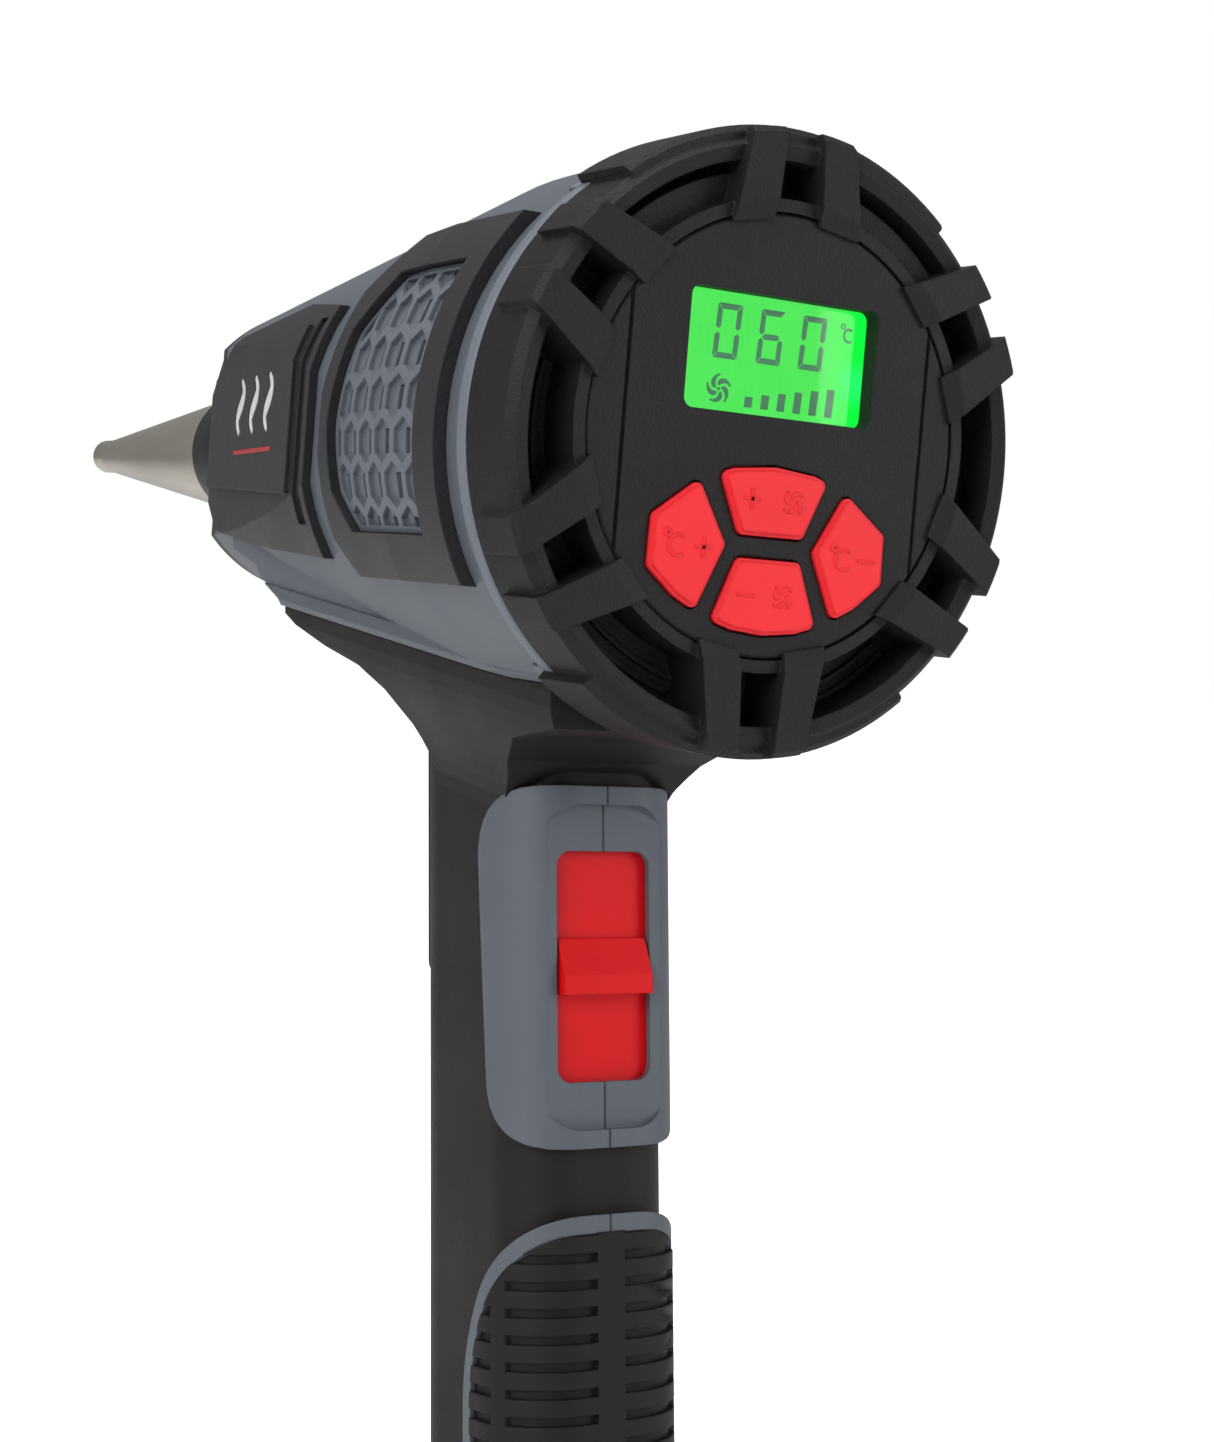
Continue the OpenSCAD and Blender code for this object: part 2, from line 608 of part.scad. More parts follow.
// ---- heater ----
core_r = tube_r - steel_t - 2.2;
core_l = 48;
core_y = barrel_l - 10 - core_l;
channel_count = 6;
channel_ring_r = core_r * 0.62;
module at_channels() for (i = [0:channel_count - 1])
    translate([channel_ring_r * cos(360 / channel_count * i), 0, channel_ring_r * sin(360 / channel_count * i)])
        children();
module heater_core() color([0.92, 0.90, 0.84]) from_back() difference() {
    rod([0, core_y, 0], core_r, core_l);
    at_channels() rod([0, core_y - 1, 0], core_r * 0.24, core_l + 2);
    rod([0, core_y - 1, 0], 1.6, core_l + 2);
}
// The wire is wound in turns round a thin rod in each channel
coil_turns = 10;
coil_pitch = 4.4;
module heater_wire() color([0.55, 0.45, 0.35]) from_back() at_channels() {
    rod([0, core_y + 2, 0], core_r * 0.13, core_l - 4);
    for (t = [0:coil_turns - 1]) rod([0, core_y + 3.5 + coil_pitch * t, 0], core_r * 0.2, 1.1);
}
module mica_sleeve() color([0.75, 0.68, 0.50]) from_back() turned() polygon([
    [core_r + 0.2, core_y - 3], [core_r + 1, core_y - 3], [core_r + 1, core_y + core_l + 4],
    [core_r + 0.2, core_y + core_l + 4]]);
module thermocouple() color("silver") from_back() {
    rod([0, core_y + 4, 0], 0.8, core_l + 12);
    rod([0, core_y + core_l + 14, 0], 1.2, 3);
}

// ---- fan ----
fan_l = 10;
fan_y = flat_y + 6;
motor_y = fan_y - 4 - motor_l;
hub_r = 6;
blade_t = 1.2;
blade_lean = 20;
duct_t = 1.8;
duct_r = fan_r + 1;
duct_end = tube_start + 8;
spokes = 4;
module fan_duct() color([0.25, 0.25, 0.26]) from_back() difference() {
    union() {
        turned() polygon([[duct_r, motor_y + motor_l - 8], [duct_r + duct_t, motor_y + motor_l - 8],
            [duct_r + duct_t, fan_y + fan_l + 2], [tube_r + duct_t, duct_end - 6], [tube_r + duct_t, duct_end],
            [tube_r + 0.05, duct_end], [tube_r + 0.05, tube_start], [tube_r - 1.5, tube_start - 0.5],
            [duct_r, fan_y + fan_l + 1]]);
        rod([0, motor_y + motor_l - 8, 0], motor_r + 1.6, 6);
        for (i = [0:spokes - 1]) rotate([0, 45 + 90 * i, 0])
            translate([motor_r - 1, motor_y + motor_l - 8, -1.2]) cube([duct_r - motor_r + 1.5, 5, 2.4]);
        for (i = [0:1]) rotate([0, 180 * i, 0])
            translate([duct_r + 0.5, motor_y + motor_l - 8, -4]) cube([rib_reach - duct_r - 0.5, 3, 8]);
    }
    rod([0, motor_y - 1, 0], motor_r + 0.05, motor_l + 2);
}
rib_reach = flat_x(fan_y) - wall - 0.6;
module motor() color([0.6, 0.6, 0.62]) from_back() difference() {
    union() {
        rod([0, motor_y, 0], motor_r, motor_l - 1);
        rod([0, motor_y + motor_l - 2, 0], motor_r * 0.45, 2.6);
        rod([0, motor_y - 2.5, 0], motor_r * 0.4, 3);
        for (s = [-1, 1]) translate([s * motor_r * 0.6 - 1.2, motor_y - 4, -0.4]) cube([2.4, 4.5, 0.8]);
    }
    rod([0, motor_y + 4, 0], shaft_r + 0.05, motor_l);
}
module motor_shaft() color("silver") from_back()
    rod([0, motor_y + 5, 0], shaft_r, fan_y + fan_l - motor_y - 3);
module fan_wheel() color([0.15, 0.15, 0.16]) from_back() difference() {
    union() {
        rod([0, fan_y, 0], hub_r, fan_l);
        rod([0, fan_y + fan_l - 1.2, 0], fan_r * 0.55, 1.2);
        for (i = [0:blades - 1]) rotate([0, 360 / blades * i, 0])
            translate([hub_r - 0.5, fan_y + 0.5, -blade_t / 2]) rotate([blade_lean, 0, 0])
                cube([fan_r - hub_r, fan_l - 2.2, blade_t]);
    }
    rod([0, fan_y - 1, 0], shaft_r, fan_l + 2);
}

// ---- soft overmould on the handle and under the barrel ----
pad_r = 34.5;
pad_front = -6;
pad_edge_w = 2.4;
module pad_outline(grow) {
    translate([pad_front - pad_r, -switch_down - bezel_l / 2 - 42]) circle(pad_r + grow, $fn = 128);
    translate([-handle_d, -handle_l - 5])
        square([handle_d + pad_front + grow, handle_l - switch_down - bezel_l / 2 - 37]);
}
neck_depth = 23;
neck_steps = 10;
// Half width of the neck at a share of its depth: an S from the keel's edge to the handle's side
function neck_x(t) = handle_w / 2 + (keel_half_w - 0.3 - handle_w / 2) * (1 + cos(180 * t)) / 2;
module neck_form() intersection() {
    through(-cap_r, cap_r) polygon([[shell_y + 3, -20], [shell_y + 3, -44.2], [handle_y - 36, -47],
        [handle_y - 30, -51], [handle_y - 26, -56], [handle_y - 22, -64], [handle_y - 4, -64], [handle_y, -55],
        [handle_y + 4, -48.5], [handle_y + 10, -43], [handle_y + 18, -39.5], [handle_y + 31, -37],
        [keel_end - 5, -34], [keel_end, -32], [keel_end, -20]]);
    along_keel() slab(-keel_y, keel_end + 10) polygon(concat(
        [[-keel_half_w + 0.3, keel_h], [keel_half_w - 0.3, keel_h]],
        [for (i = [0:neck_steps]) [neck_x(i / neck_steps), -1 - neck_depth * i / neck_steps]],
        [for (i = [neck_steps:-1:0]) [-neck_x(i / neck_steps), -1 - neck_depth * i / neck_steps]]));
    rod([0, shell_y, 0], 80, barrel_l);
}
grip_pocket = [48, 95];
grip_w = 27;
module grip_outline() rounded(2) polygon([[-grip_w / 2, -grip_pocket[0]], [grip_w / 2, -grip_pocket[0]],
    [grip_w / 2, -grip_pocket[1] + 7], [4, -grip_pocket[1]], [-4, -grip_pocket[1]],
    [-grip_w / 2, -grip_pocket[1] + 7]]);
module grip_space(play) in_handle() translate([0, handle_d / 2 + 3, 0]) rotate([90, 0, 0])
    linear_extrude(3 + skin + 6) offset(delta = play) grip_outline();
module grip_overmould() color(black) difference() {
    union() {
        in_handle() handle_form(0, 40, handle_l);
        from_back() neck_form();
    }
    in_handle() handle_form(-skin, 0, handle_l + 1);
    from_back() barrel_form(0, shell_y - 1, barrel_l + 1);
    from_back() keel_form();
    bezel_form(0.2);
    in_handle() through(-handle_w, handle_w) pad_outline(pad_edge_w + 0.05);
    intersection() {
        grip_space(0);
        in_handle() translate([-handle_w, 0, -handle_l]) cube([2 * handle_w, handle_d, handle_l]);
    }
    at_shell_screws() cross_rod(0, past_shell, screw_head_r + head_play);
}
module handle_skin(grow) difference() {
    handle_form(grow, switch_down + bezel_l / 2, handle_l);
    handle_form(-skin, switch_down, handle_l + 1);
}
module accent_band() color(shell_grey) in_handle() intersection() {
    handle_skin(pad_rise - 0.2);
    through(-handle_w, handle_w) difference() {
        pad_outline(pad_edge_w);
        pad_outline(0);
    }
}
groove_d = 1;
spine_w = 5;
rib_w = 2.6;
module palm_pad() color([0.05, 0.05, 0.055]) in_handle() difference() {
    intersection() {
        handle_skin(pad_rise);
        through(-handle_w, handle_w) pad_outline(-0.02);
    }
    difference() {
        for (z = [switch_down + bezel_l / 2 + 12 : groove_pitch : handle_l - 8]) difference() {
            handle_form(pad_rise + 2, z, z + 1.5);
            handle_form(pad_rise - groove_d, z - 1, z + 3);
        }
        translate([-spine_w / 2, -handle_d, -handle_l]) cube([spine_w, handle_d, handle_l]);
        for (s = [-1, 1]) translate([s * (handle_w / 2 - 2) - 5, -handle_d / 2 + 4.4, -handle_l])
            cube([10, rib_w, handle_l]);
    }
}
module front_grip() color(black) difference() {
    intersection() {
        grip_space(-0.05);
        in_handle() difference() {
            handle_form(0.5, grip_pocket[0] - 2, grip_pocket[1] + 2);
            handle_form(-skin, grip_pocket[0] - 3, grip_pocket[1] + 3);
        }
        in_handle() translate([-handle_w, 0, -handle_l]) cube([2 * handle_w, handle_d, handle_l]);
    }
    in_handle() for (z = [grip_pocket[0] + 3 : 3 : grip_pocket[1] - 9]) difference() {
        handle_form(2, z, z + 1.3);
        handle_form(-0.4, z - 1, z + 3);
        for (s = [-1, 1]) translate([s * grip_w / 2 - 1.5, 0, -handle_l]) cube([3, handle_d, handle_l]);
    }
}

// ---- slide key and switch ----
stem_l = 8;
plate_t = channel_out - channel_in - 0.6;
plate_l = slot_l + 2 * slide_travel + 0.6;
thumb_l = 9;
thumb_rise = 3.4;
module slide_key() color([0.75, 0.03, 0.05]) in_handle() translate([0, 0, -switch_down]) {
    translate([-channel_w / 2 + 0.4, -channel_out + 0.3, -plate_l / 2])
        cube([channel_w - 0.8, plate_t, plate_l]);
    intersection() {
        translate([0, -channel_out + 0.4, 0]) rotate([90, 0, 0]) linear_extrude(thumb_rise)
            square([slot_w - 1, thumb_l], center = true);
        translate([-slot_w, 0, 0]) through(0, 2 * slot_w)
            polygon([[-channel_out + 0.5, -thumb_l], [-channel_out + 0.5, thumb_l],
                [-channel_out - 0.6, thumb_l / 2], [-channel_out - thumb_rise, -thumb_l / 2 + 2],
                [-channel_out - thumb_rise, -thumb_l]]);
    }
    translate([-3, -channel_in - 0.5, -stem_l / 2]) cube([6, channel_in - switch_back + 2, stem_l]);
}
switch_body_l = 26;
switch_body_w = 13;
switch_back = back_of_handle - skin - wall - 0.4;
module slide_switch() color([0.1, 0.1, 0.1]) in_handle() translate([0, 0, -switch_down]) difference() {
    translate([-switch_body_w / 2, -switch_back, -switch_body_l / 2])
        cube([switch_body_w, 12, switch_body_l]);
    translate([-3.4, -switch_back - 1, -stem_l / 2 - slide_travel - 0.5])
        cube([6.8, 4, stem_l + 2 * slide_travel + 1]);
}

// ---- power board, lead entry ----
board_top = switch_down + switch_body_l / 2 + 4;
board_l = handle_l - board_top - 44;
module power_board() color([0.05, 0.35, 0.15]) in_handle() {
    translate([-10, -7, -board_top - board_l]) cube([20, board_t, board_l]);
    translate([-7, -7 + board_t, -board_top - 14]) cube([14, 6, 10]);
    translate([-4, -7 + board_t, -board_top - board_l + 3]) cube([9, 4, 5]);
}
module terminal_block() color("white") in_handle() difference() {
    translate([-9, -9, -handle_l + 27]) cube([18, 9, 9]);
    for (s = [-1, 0, 1]) translate([s * 5.6, -4.5, -handle_l + 26]) cylinder(r = 1.3, h = 12);
}
gland_neck_r = inlet_r + 2.4;
gland_out = 7;
module cord_gland() color(black) in_handle() translate([0, 0, -handle_l]) difference() {
    union() {
        translate([0, 0, -gland_out]) cylinder(r = gland_neck_r - 0.6, h = gland_out);
        cylinder(r = gland_neck_r, h = wall);
        translate([0, 0, wall]) cylinder(r = gland_neck_r + 1.8, h = 2);
        translate([0, 0, -1.4]) cylinder(r = gland_neck_r + 1.4, h = 1.4);
    }
    translate([0, 0, -gland_out - 1]) cylinder(r = inlet_r, h = gland_out + wall + 4);
}
clamp_z = -handle_l + 13;
clamp_w = handle_w - 2 * (skin + wall) - 0.5;
clamp_screw_x = clamp_w / 2 - 2.7;
module cable_clamp() color(black) in_handle() difference() {
    translate([-clamp_w / 2, -7, clamp_z]) cube([clamp_w, 7, 7]);
    translate([0, 0, clamp_z - 1]) cylinder(r = inlet_r, h = 9);
    for (s = [-1, 1]) translate([s * clamp_screw_x, 1, clamp_z + 3.5]) rotate([90, 0, 0])
        cylinder(r = screw_r, h = 9);
}
module clamp_screws() color("silver") in_handle() for (s = [-1, 1])
    translate([s * clamp_screw_x, 0, clamp_z + 3.5]) {
    rotate([90, 0, 0]) cylinder(r = screw_r, h = 9);
    rotate([-90, 0, 0]) cylinder(r = 2.4, h = 1.6);
}
module shell_screws() color("silver") {
    for (s = barrel_screws) from_back() translate([0, s[0], s[1]]) shell_screw(s[2]);
    for (s = handle_screws) in_handle() translate([0, s[0], -s[1]]) shell_screw(s[2]);
}
module shell_screw(seat) difference() {
    shell_screw_form(seat, head_l, 0);
    for (t = [0, 90]) translate([seat + head_l / 2, 0, 0]) rotate([t, 0, 0])
        translate([0, -recess_l / 2, -recess_w / 2]) cube([head_l, recess_l, recess_w]);
}

housing_left();
housing_right();
seam_bead();
rear_cap();
face_plate();
display_lens();
display_module();
key_fan_up();
key_fan_down();
key_heat_up();
key_heat_down();
key_switches();
control_board();
board_screws();
cap_screws();
vent_frame_left();
vent_frame_right();
vent_grille_left();
vent_grille_right();
badge_shell_left();
badge_shell_right();
front_collar();
heat_guard();
nozzle();
heater_core();
heater_wire();
mica_sleeve();
thermocouple();
fan_duct();
motor();
motor_shaft();
fan_wheel();
grip_overmould();
accent_band();
palm_pad();
front_grip();
slide_key();
slide_switch();
power_board();
terminal_block();
cable_clamp();
clamp_screws();
cord_gland();
shell_screws();
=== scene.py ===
import math

import bmesh
import bpy
from mathutils import Matrix, Vector
from mathutils.bvhtree import BVHTree


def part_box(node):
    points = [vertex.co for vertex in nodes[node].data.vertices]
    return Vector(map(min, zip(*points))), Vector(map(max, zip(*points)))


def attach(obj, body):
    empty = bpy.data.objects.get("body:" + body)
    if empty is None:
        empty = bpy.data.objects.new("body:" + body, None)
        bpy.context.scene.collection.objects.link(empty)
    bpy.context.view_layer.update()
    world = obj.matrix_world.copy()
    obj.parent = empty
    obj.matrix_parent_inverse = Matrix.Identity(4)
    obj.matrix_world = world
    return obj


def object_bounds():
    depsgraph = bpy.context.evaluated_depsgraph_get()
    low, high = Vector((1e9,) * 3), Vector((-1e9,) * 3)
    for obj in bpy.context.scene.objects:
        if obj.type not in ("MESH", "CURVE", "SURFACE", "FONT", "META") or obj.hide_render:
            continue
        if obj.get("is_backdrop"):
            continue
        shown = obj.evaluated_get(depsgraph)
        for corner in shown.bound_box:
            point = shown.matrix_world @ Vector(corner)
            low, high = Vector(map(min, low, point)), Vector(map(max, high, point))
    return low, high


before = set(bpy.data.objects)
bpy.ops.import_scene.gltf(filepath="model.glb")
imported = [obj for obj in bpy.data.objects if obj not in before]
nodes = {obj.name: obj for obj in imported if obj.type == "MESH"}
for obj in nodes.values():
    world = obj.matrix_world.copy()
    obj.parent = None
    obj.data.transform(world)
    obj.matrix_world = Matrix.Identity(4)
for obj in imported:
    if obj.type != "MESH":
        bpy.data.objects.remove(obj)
cad_low, cad_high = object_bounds()

# ---- The view ----
# The gun is seen from behind and from its left, from a little below the keys,
# through a long lens, so that the barrel runs away to the left.
MM = 0.001
eye = Vector((-201.25, -578.44, -22.33)) * MM
yaw, pitch, roll = math.radians(31.43), math.radians(-3.24), math.radians(4.56)
ahead = Vector((math.sin(yaw) * math.cos(pitch), math.cos(yaw) * math.cos(pitch), math.sin(pitch)))
level_right = ahead.cross(Vector((0, 0, 1))).normalized()
level_up = level_right.cross(ahead)
right = level_right * math.cos(roll) + level_up * math.sin(roll)
up = level_up * math.cos(roll) - level_right * math.sin(roll)
view = bpy.data.cameras.new("view")
view.lens = 59.38
view_holder = bpy.data.objects.new("view", view)
view_holder.matrix_world = Matrix.Translation(eye) @ Matrix((right, up, -ahead)).transposed().to_4x4()
bpy.context.scene.collection.objects.link(view_holder)
bpy.context.scene.camera = view_holder
bpy.context.scene.view_settings.view_transform = "Standard"

# ---- The room ----
# A pale table that runs far out under a bright even sky, with a large soft box
# over each shoulder and a long one above the barrel.
room = bpy.data.worlds.new("room")
room.use_nodes = True
sky = room.node_tree.nodes["Background"]
sky.inputs["Color"].default_value = (1.0, 1.0, 1.0, 1.0)
seen_directly = room.node_tree.nodes.new("ShaderNodeLightPath")
sky_strength = room.node_tree.nodes.new("ShaderNodeMapRange")
sky_strength.inputs["To Min"].default_value = 0.30
sky_strength.inputs["To Max"].default_value = 1.0
room.node_tree.links.new(seen_directly.outputs["Is Camera Ray"], sky_strength.inputs["Value"])
room.node_tree.links.new(sky_strength.outputs["Result"], sky.inputs["Strength"])
bpy.context.scene.world = room

table_mesh = bpy.data.meshes.new("table")
table_form = bmesh.new()
bmesh.ops.create_circle(table_form, cap_ends=True, segments=96, radius=6.0)
table_form.to_mesh(table_mesh)
table_form.free()
table = bpy.data.objects.new("table", table_mesh)
table.location = (0, (cad_low.y + cad_high.y) / 2, cad_low.z - 1 * MM)
bpy.context.scene.collection.objects.link(table)
paper = bpy.data.materials.new("paper")
paper.use_nodes = True
paper_shader = paper.node_tree.nodes["Principled BSDF"]
paper_shader.inputs["Base Color"].default_value = (0.88, 0.88, 0.88, 1)
paper_shader.inputs["Roughness"].default_value = 0.9
paper_shader.inputs["Emission Strength"].default_value = 0.85
paper_path = paper.node_tree.nodes.new("ShaderNodeLightPath")
paper_glow = paper.node_tree.nodes.new("ShaderNodeMix")
paper_glow.data_type = "RGBA"
paper_glow.inputs[6].default_value = (0.0, 0.0, 0.0, 1)
paper_glow.inputs[7].default_value = (1.0, 1.0, 1.0, 1)
paper.node_tree.links.new(paper_path.outputs["Is Camera Ray"], paper_glow.inputs[0])
paper.node_tree.links.new(paper_glow.outputs[2], paper_shader.inputs["Emission Color"])
table_mesh.materials.append(paper)
table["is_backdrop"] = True


def soft_box(name, place, aim, width, height, power):
    light = bpy.data.lights.new(name, "AREA")
    light.shape = "RECTANGLE"
    light.size, light.size_y = width, height
    light.energy = power
    holder = bpy.data.objects.new(name, light)
    holder.location = place
    holder.rotation_euler = (Vector(aim) - Vector(place)).to_track_quat("-Z", "Y").to_euler()
    bpy.context.scene.collection.objects.link(holder)


middle = (cad_low + cad_high) / 2
soft_box("left_box", (-1.3, -0.9, 0.7), middle, 0.9, 0.9, 15)
soft_box("right_box", (1.2, -1.3, 0.5), middle, 0.8, 1.0, 9)
soft_box("top_box", (-0.3, -0.1, 1.4), middle, 0.8, 1.2, 15)

# ---- Shells ----
# Two glass-filled nylon halves, moulded in blue-grey with a fine spark grain and
# screwed together from the right, with a line where they meet.
rubbed_edges = bpy.data.node_groups.new("rubbed_edges", "ShaderNodeTree")
for socket, kind, low in (("Radius", "NodeSocketFloat", 0.0005), ("Amount", "NodeSocketFloat", 0.5)):
    rubbed_edges.interface.new_socket(socket, in_out="INPUT", socket_type=kind).default_value = low
rubbed_edges.interface.new_socket("Mask", in_out="OUTPUT", socket_type="NodeSocketFloat")
rubbed_edges.interface.new_socket("Normal", in_out="OUTPUT", socket_type="NodeSocketVector")


def add(tree, kind, **values):
    """A node of a shader tree, with its settings and the values of its inputs."""
    node = tree.nodes.new("ShaderNode" + kind)
    for name, value in values.items():
        if hasattr(node, name):
            setattr(node, name, value)
        else:
            node.inputs[name.replace("_", " ")].default_value = value
    return node


def join(tree, *ends):
    """Links pairs of (node, output name or number) and (node, input name or number)."""
    for (a, out), (b, into) in zip(ends[::2], ends[1::2]):
        tree.links.new(a.outputs[out], b.inputs[into])


edge_in = rubbed_edges.nodes.new("NodeGroupInput")
edge_out = rubbed_edges.nodes.new("NodeGroupOutput")
rounded = add(rubbed_edges, "Bevel", samples=4)
facing = add(rubbed_edges, "NewGeometry")
turn = add(rubbed_edges, "VectorMath", operation="DOT_PRODUCT")
bend = add(rubbed_edges, "MapRange", From_Min=0.995, From_Max=0.86)
breakup = add(rubbed_edges, "TexNoise", Scale=900.0, Detail=3.0)
place = add(rubbed_edges, "TexCoord")
patchy = add(rubbed_edges, "MapRange", From_Min=0.42, From_Max=0.62)
worn = add(rubbed_edges, "Math", operation="MULTIPLY")
scaled = add(rubbed_edges, "Math", operation="MULTIPLY", use_clamp=True)
join(rubbed_edges,
     (edge_in, "Radius"), (rounded, "Radius"),
     (rounded, 0), (turn, 0), (facing, "Normal"), (turn, 1),
     (turn, "Value"), (bend, "Value"),
     (place, "Object"), (breakup, "Vector"), (breakup, 0), (patchy, "Value"),
     (bend, 0), (worn, 0), (patchy, 0), (worn, 1),
     (worn, 0), (scaled, 0), (edge_in, "Amount"), (scaled, 1),
     (scaled, 0), (edge_out, "Mask"), (rounded, 0), (edge_out, "Normal"))

spark_grain = bpy.data.node_groups.new("spark_grain", "ShaderNodeTree")
grain_density = spark_grain.interface.new_socket("Grains per Metre", in_out="INPUT", socket_type="NodeSocketFloat")
grain_density.default_value = 2500.0
spark_grain.interface.new_socket("Height", in_out="OUTPUT", socket_type="NodeSocketFloat")
spark_grain.interface.new_socket("Mottle", in_out="OUTPUT", socket_type="NodeSocketFloat")
grain_in = spark_grain.nodes.new("NodeGroupInput")
grain_out = spark_grain.nodes.new("NodeGroupOutput")
grain_place = add(spark_grain, "TexCoord")
pits = add(spark_grain, "TexVoronoi", feature="SMOOTH_F1", Smoothness=0.6)
fuzz = add(spark_grain, "TexNoise", Detail=2.0, Roughness=0.6)
finer = add(spark_grain, "Math", operation="MULTIPLY")
finer.inputs[1].default_value = 1.9
both = add(spark_grain, "Math", operation="ADD")
mottle = add(spark_grain, "TexNoise", Scale=55.0, Detail=4.0, Roughness=0.6)
join(spark_grain,
     (grain_place, "Object"), (pits, "Vector"), (grain_place, "Object"), (fuzz, "Vector"),
     (grain_place, "Object"), (mottle, "Vector"),
     (grain_in, 0), (pits, "Scale"), (grain_in, 0), (finer, 0), (finer, 0), (fuzz, "Scale"),
     (pits, "Distance"), (both, 0), (fuzz, 0), (both, 1),
     (both, 0), (grain_out, "Height"), (mottle, 0), (grain_out, "Mottle"))


def moulded(name, colour, roughness, grain=2500.0, depth=0.00004, rub=0.35, rub_colour=None, edge=0.0004, gloss=0.5):
    """Moulded plastic or rubber: a grain, a slow mottle in tone and gloss, and paler rubbed edges."""
    material = bpy.data.materials.new(name)
    material.use_nodes = True
    tree = material.node_tree
    shader = tree.nodes["Principled BSDF"]
    grain_group = tree.nodes.new("ShaderNodeGroup")
    grain_group.node_tree = spark_grain
    grain_group.inputs[0].default_value = grain
    edges = tree.nodes.new("ShaderNodeGroup")
    edges.node_tree = rubbed_edges
    edges.inputs["Radius"].default_value = edge
    edges.inputs["Amount"].default_value = rub
    tone = add(tree, "Mix", data_type="RGBA")
    dark = [c * 0.86 for c in colour]
    pale = [min(1.0, c * 1.14) for c in colour]
    tone.inputs[6].default_value = (*dark, 1)
    tone.inputs[7].default_value = (*pale, 1)
    rubbed = add(tree, "Mix", data_type="RGBA")
    rubbed.inputs[7].default_value = (*(rub_colour or [min(1.0, c * 1.8 + 0.03) for c in colour]), 1)
    shine = add(tree, "MapRange", From_Min=0.3, From_Max=0.7, To_Min=roughness - 0.05, To_Max=roughness + 0.05)
    bump = add(tree, "Bump", Strength=1.0, Distance=depth)
    join(tree,
         (grain_group, "Mottle"), (tone, 0), (tone, 2), (rubbed, 6), (edges, "Mask"), (rubbed, 0),
         (rubbed, 2), (shader, "Base Color"),
         (grain_group, "Mottle"), (shine, "Value"), (shine, 0), (shader, "Roughness"),
         (grain_group, "Height"), (bump, "Height"), (edges, "Normal"), (bump, "Normal"),
         (bump, "Normal"), (shader, "Normal"))
    shader.inputs["Specular IOR Level"].default_value = gloss
    return material


def wear(material, *names):
    """Gives CAD nodes their material."""
    for name in names:
        slots = nodes[name].data.materials
        slots.clear()
        slots.append(material)


shell_grey = moulded("shell_grey", (0.088, 0.100, 0.122), 0.5, depth=0.00003)
# the line between the halves
seam_tree = shell_grey.node_tree
seam_place = add(seam_tree, "TexCoord")
seam_axes = add(seam_tree, "SeparateXYZ")
seam_offset = add(seam_tree, "Math", operation="ABSOLUTE")
seam_line = add(seam_tree, "MapRange", From_Min=0.00012, From_Max=0.0003, To_Min=1.0, To_Max=0.0)
seam_colour = add(seam_tree, "Mix", data_type="RGBA")
seam_colour.inputs[7].default_value = (0.012, 0.013, 0.016, 1)
seam_shader = seam_tree.nodes["Principled BSDF"]
plain_colour = seam_shader.inputs["Base Color"].links[0].from_socket
join(seam_tree,
     (seam_place, "Object"), (seam_axes, 0), (seam_axes, 0), (seam_offset, 0), (seam_offset, 0), (seam_line, 0),
     (seam_line, 0), (seam_colour, 0))
seam_tree.links.new(plain_colour, seam_colour.inputs[6])
join(seam_tree, (seam_colour, 2), (seam_shader, "Base Color"))
wear(shell_grey, "housing_left", "housing_right")

# ---- Seam bead ----
# A lighter grey ring of soft plastic, squeezed between the shells and the cap.
bead_grey = moulded("bead_grey", (0.135, 0.155, 0.185), 0.55, depth=0.00002, rub=0.15)
wear(bead_grey, "seam_bead")

# ---- Rear cap ----
# The tyre-tread cap is moulded in hard black rubber with a coarse spark finish,
# and rubs grey along the edges of its bars.
cap_black = moulded("cap_black", (0.0085, 0.0085, 0.0092), 0.6, grain=2200.0, depth=0.00007, rub=0.3,
                    rub_colour=(0.045, 0.045, 0.048), edge=0.0005, gloss=0.3)
wear(cap_black, "rear_cap", "face_plate")

# ---- Display ----
# A reflective liquid-crystal module with a green edge light, behind a clear
# acrylic window at the bottom of its recess.
lens_clear = bpy.data.materials.new("lens_clear")
lens_clear.use_nodes = True
lens_shader = lens_clear.node_tree.nodes["Principled BSDF"]
lens_shader.inputs["Transmission Weight"].default_value = 1.0
lens_shader.inputs["IOR"].default_value = 1.35
lens_tree = lens_clear.node_tree
smears = add(lens_tree, "TexNoise", Scale=120.0, Detail=4.0)
smear_place = add(lens_tree, "TexCoord")
smear_range = add(lens_tree, "MapRange", To_Min=0.0, To_Max=0.06)
join(lens_tree, (smear_place, "Object"), (smears, "Vector"), (smears, 0), (smear_range, 0),
     (smear_range, 0), (lens_shader, "Roughness"))
wear(lens_clear, "display_lens")

lens_low, lens_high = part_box("display_lens")
display_green = bpy.data.materials.new("display_green")
display_green.use_nodes = True
green_tree = display_green.node_tree
green_shader = green_tree.nodes["Principled BSDF"]
green_shader.inputs["Base Color"].default_value = (0.02, 0.12, 0.03, 1)
green_shader.inputs["Roughness"].default_value = 0.4
green_place = add(green_tree, "TexCoord")
green_axes = add(green_tree, "SeparateXYZ")
to_light = add(green_tree, "MapRange", From_Min=lens_high.x - 9 * MM, From_Max=lens_high.x - 2 * MM)
spot_shape = add(green_tree, "VectorMath", operation="DISTANCE")
spot_shape.inputs[1].default_value = (lens_high.x - 2 * MM, lens_low.y, lens_low.z + 7.5 * MM)
spot_fade = add(green_tree, "MapRange", From_Min=0.0, From_Max=4 * MM, To_Min=1.0, To_Max=0.0)
blotch = add(green_tree, "TexNoise", Scale=140.0, Detail=2.0)
even = add(green_tree, "Mix", data_type="RGBA")
even.inputs[6].default_value = (0.075, 0.80, 0.10, 1)
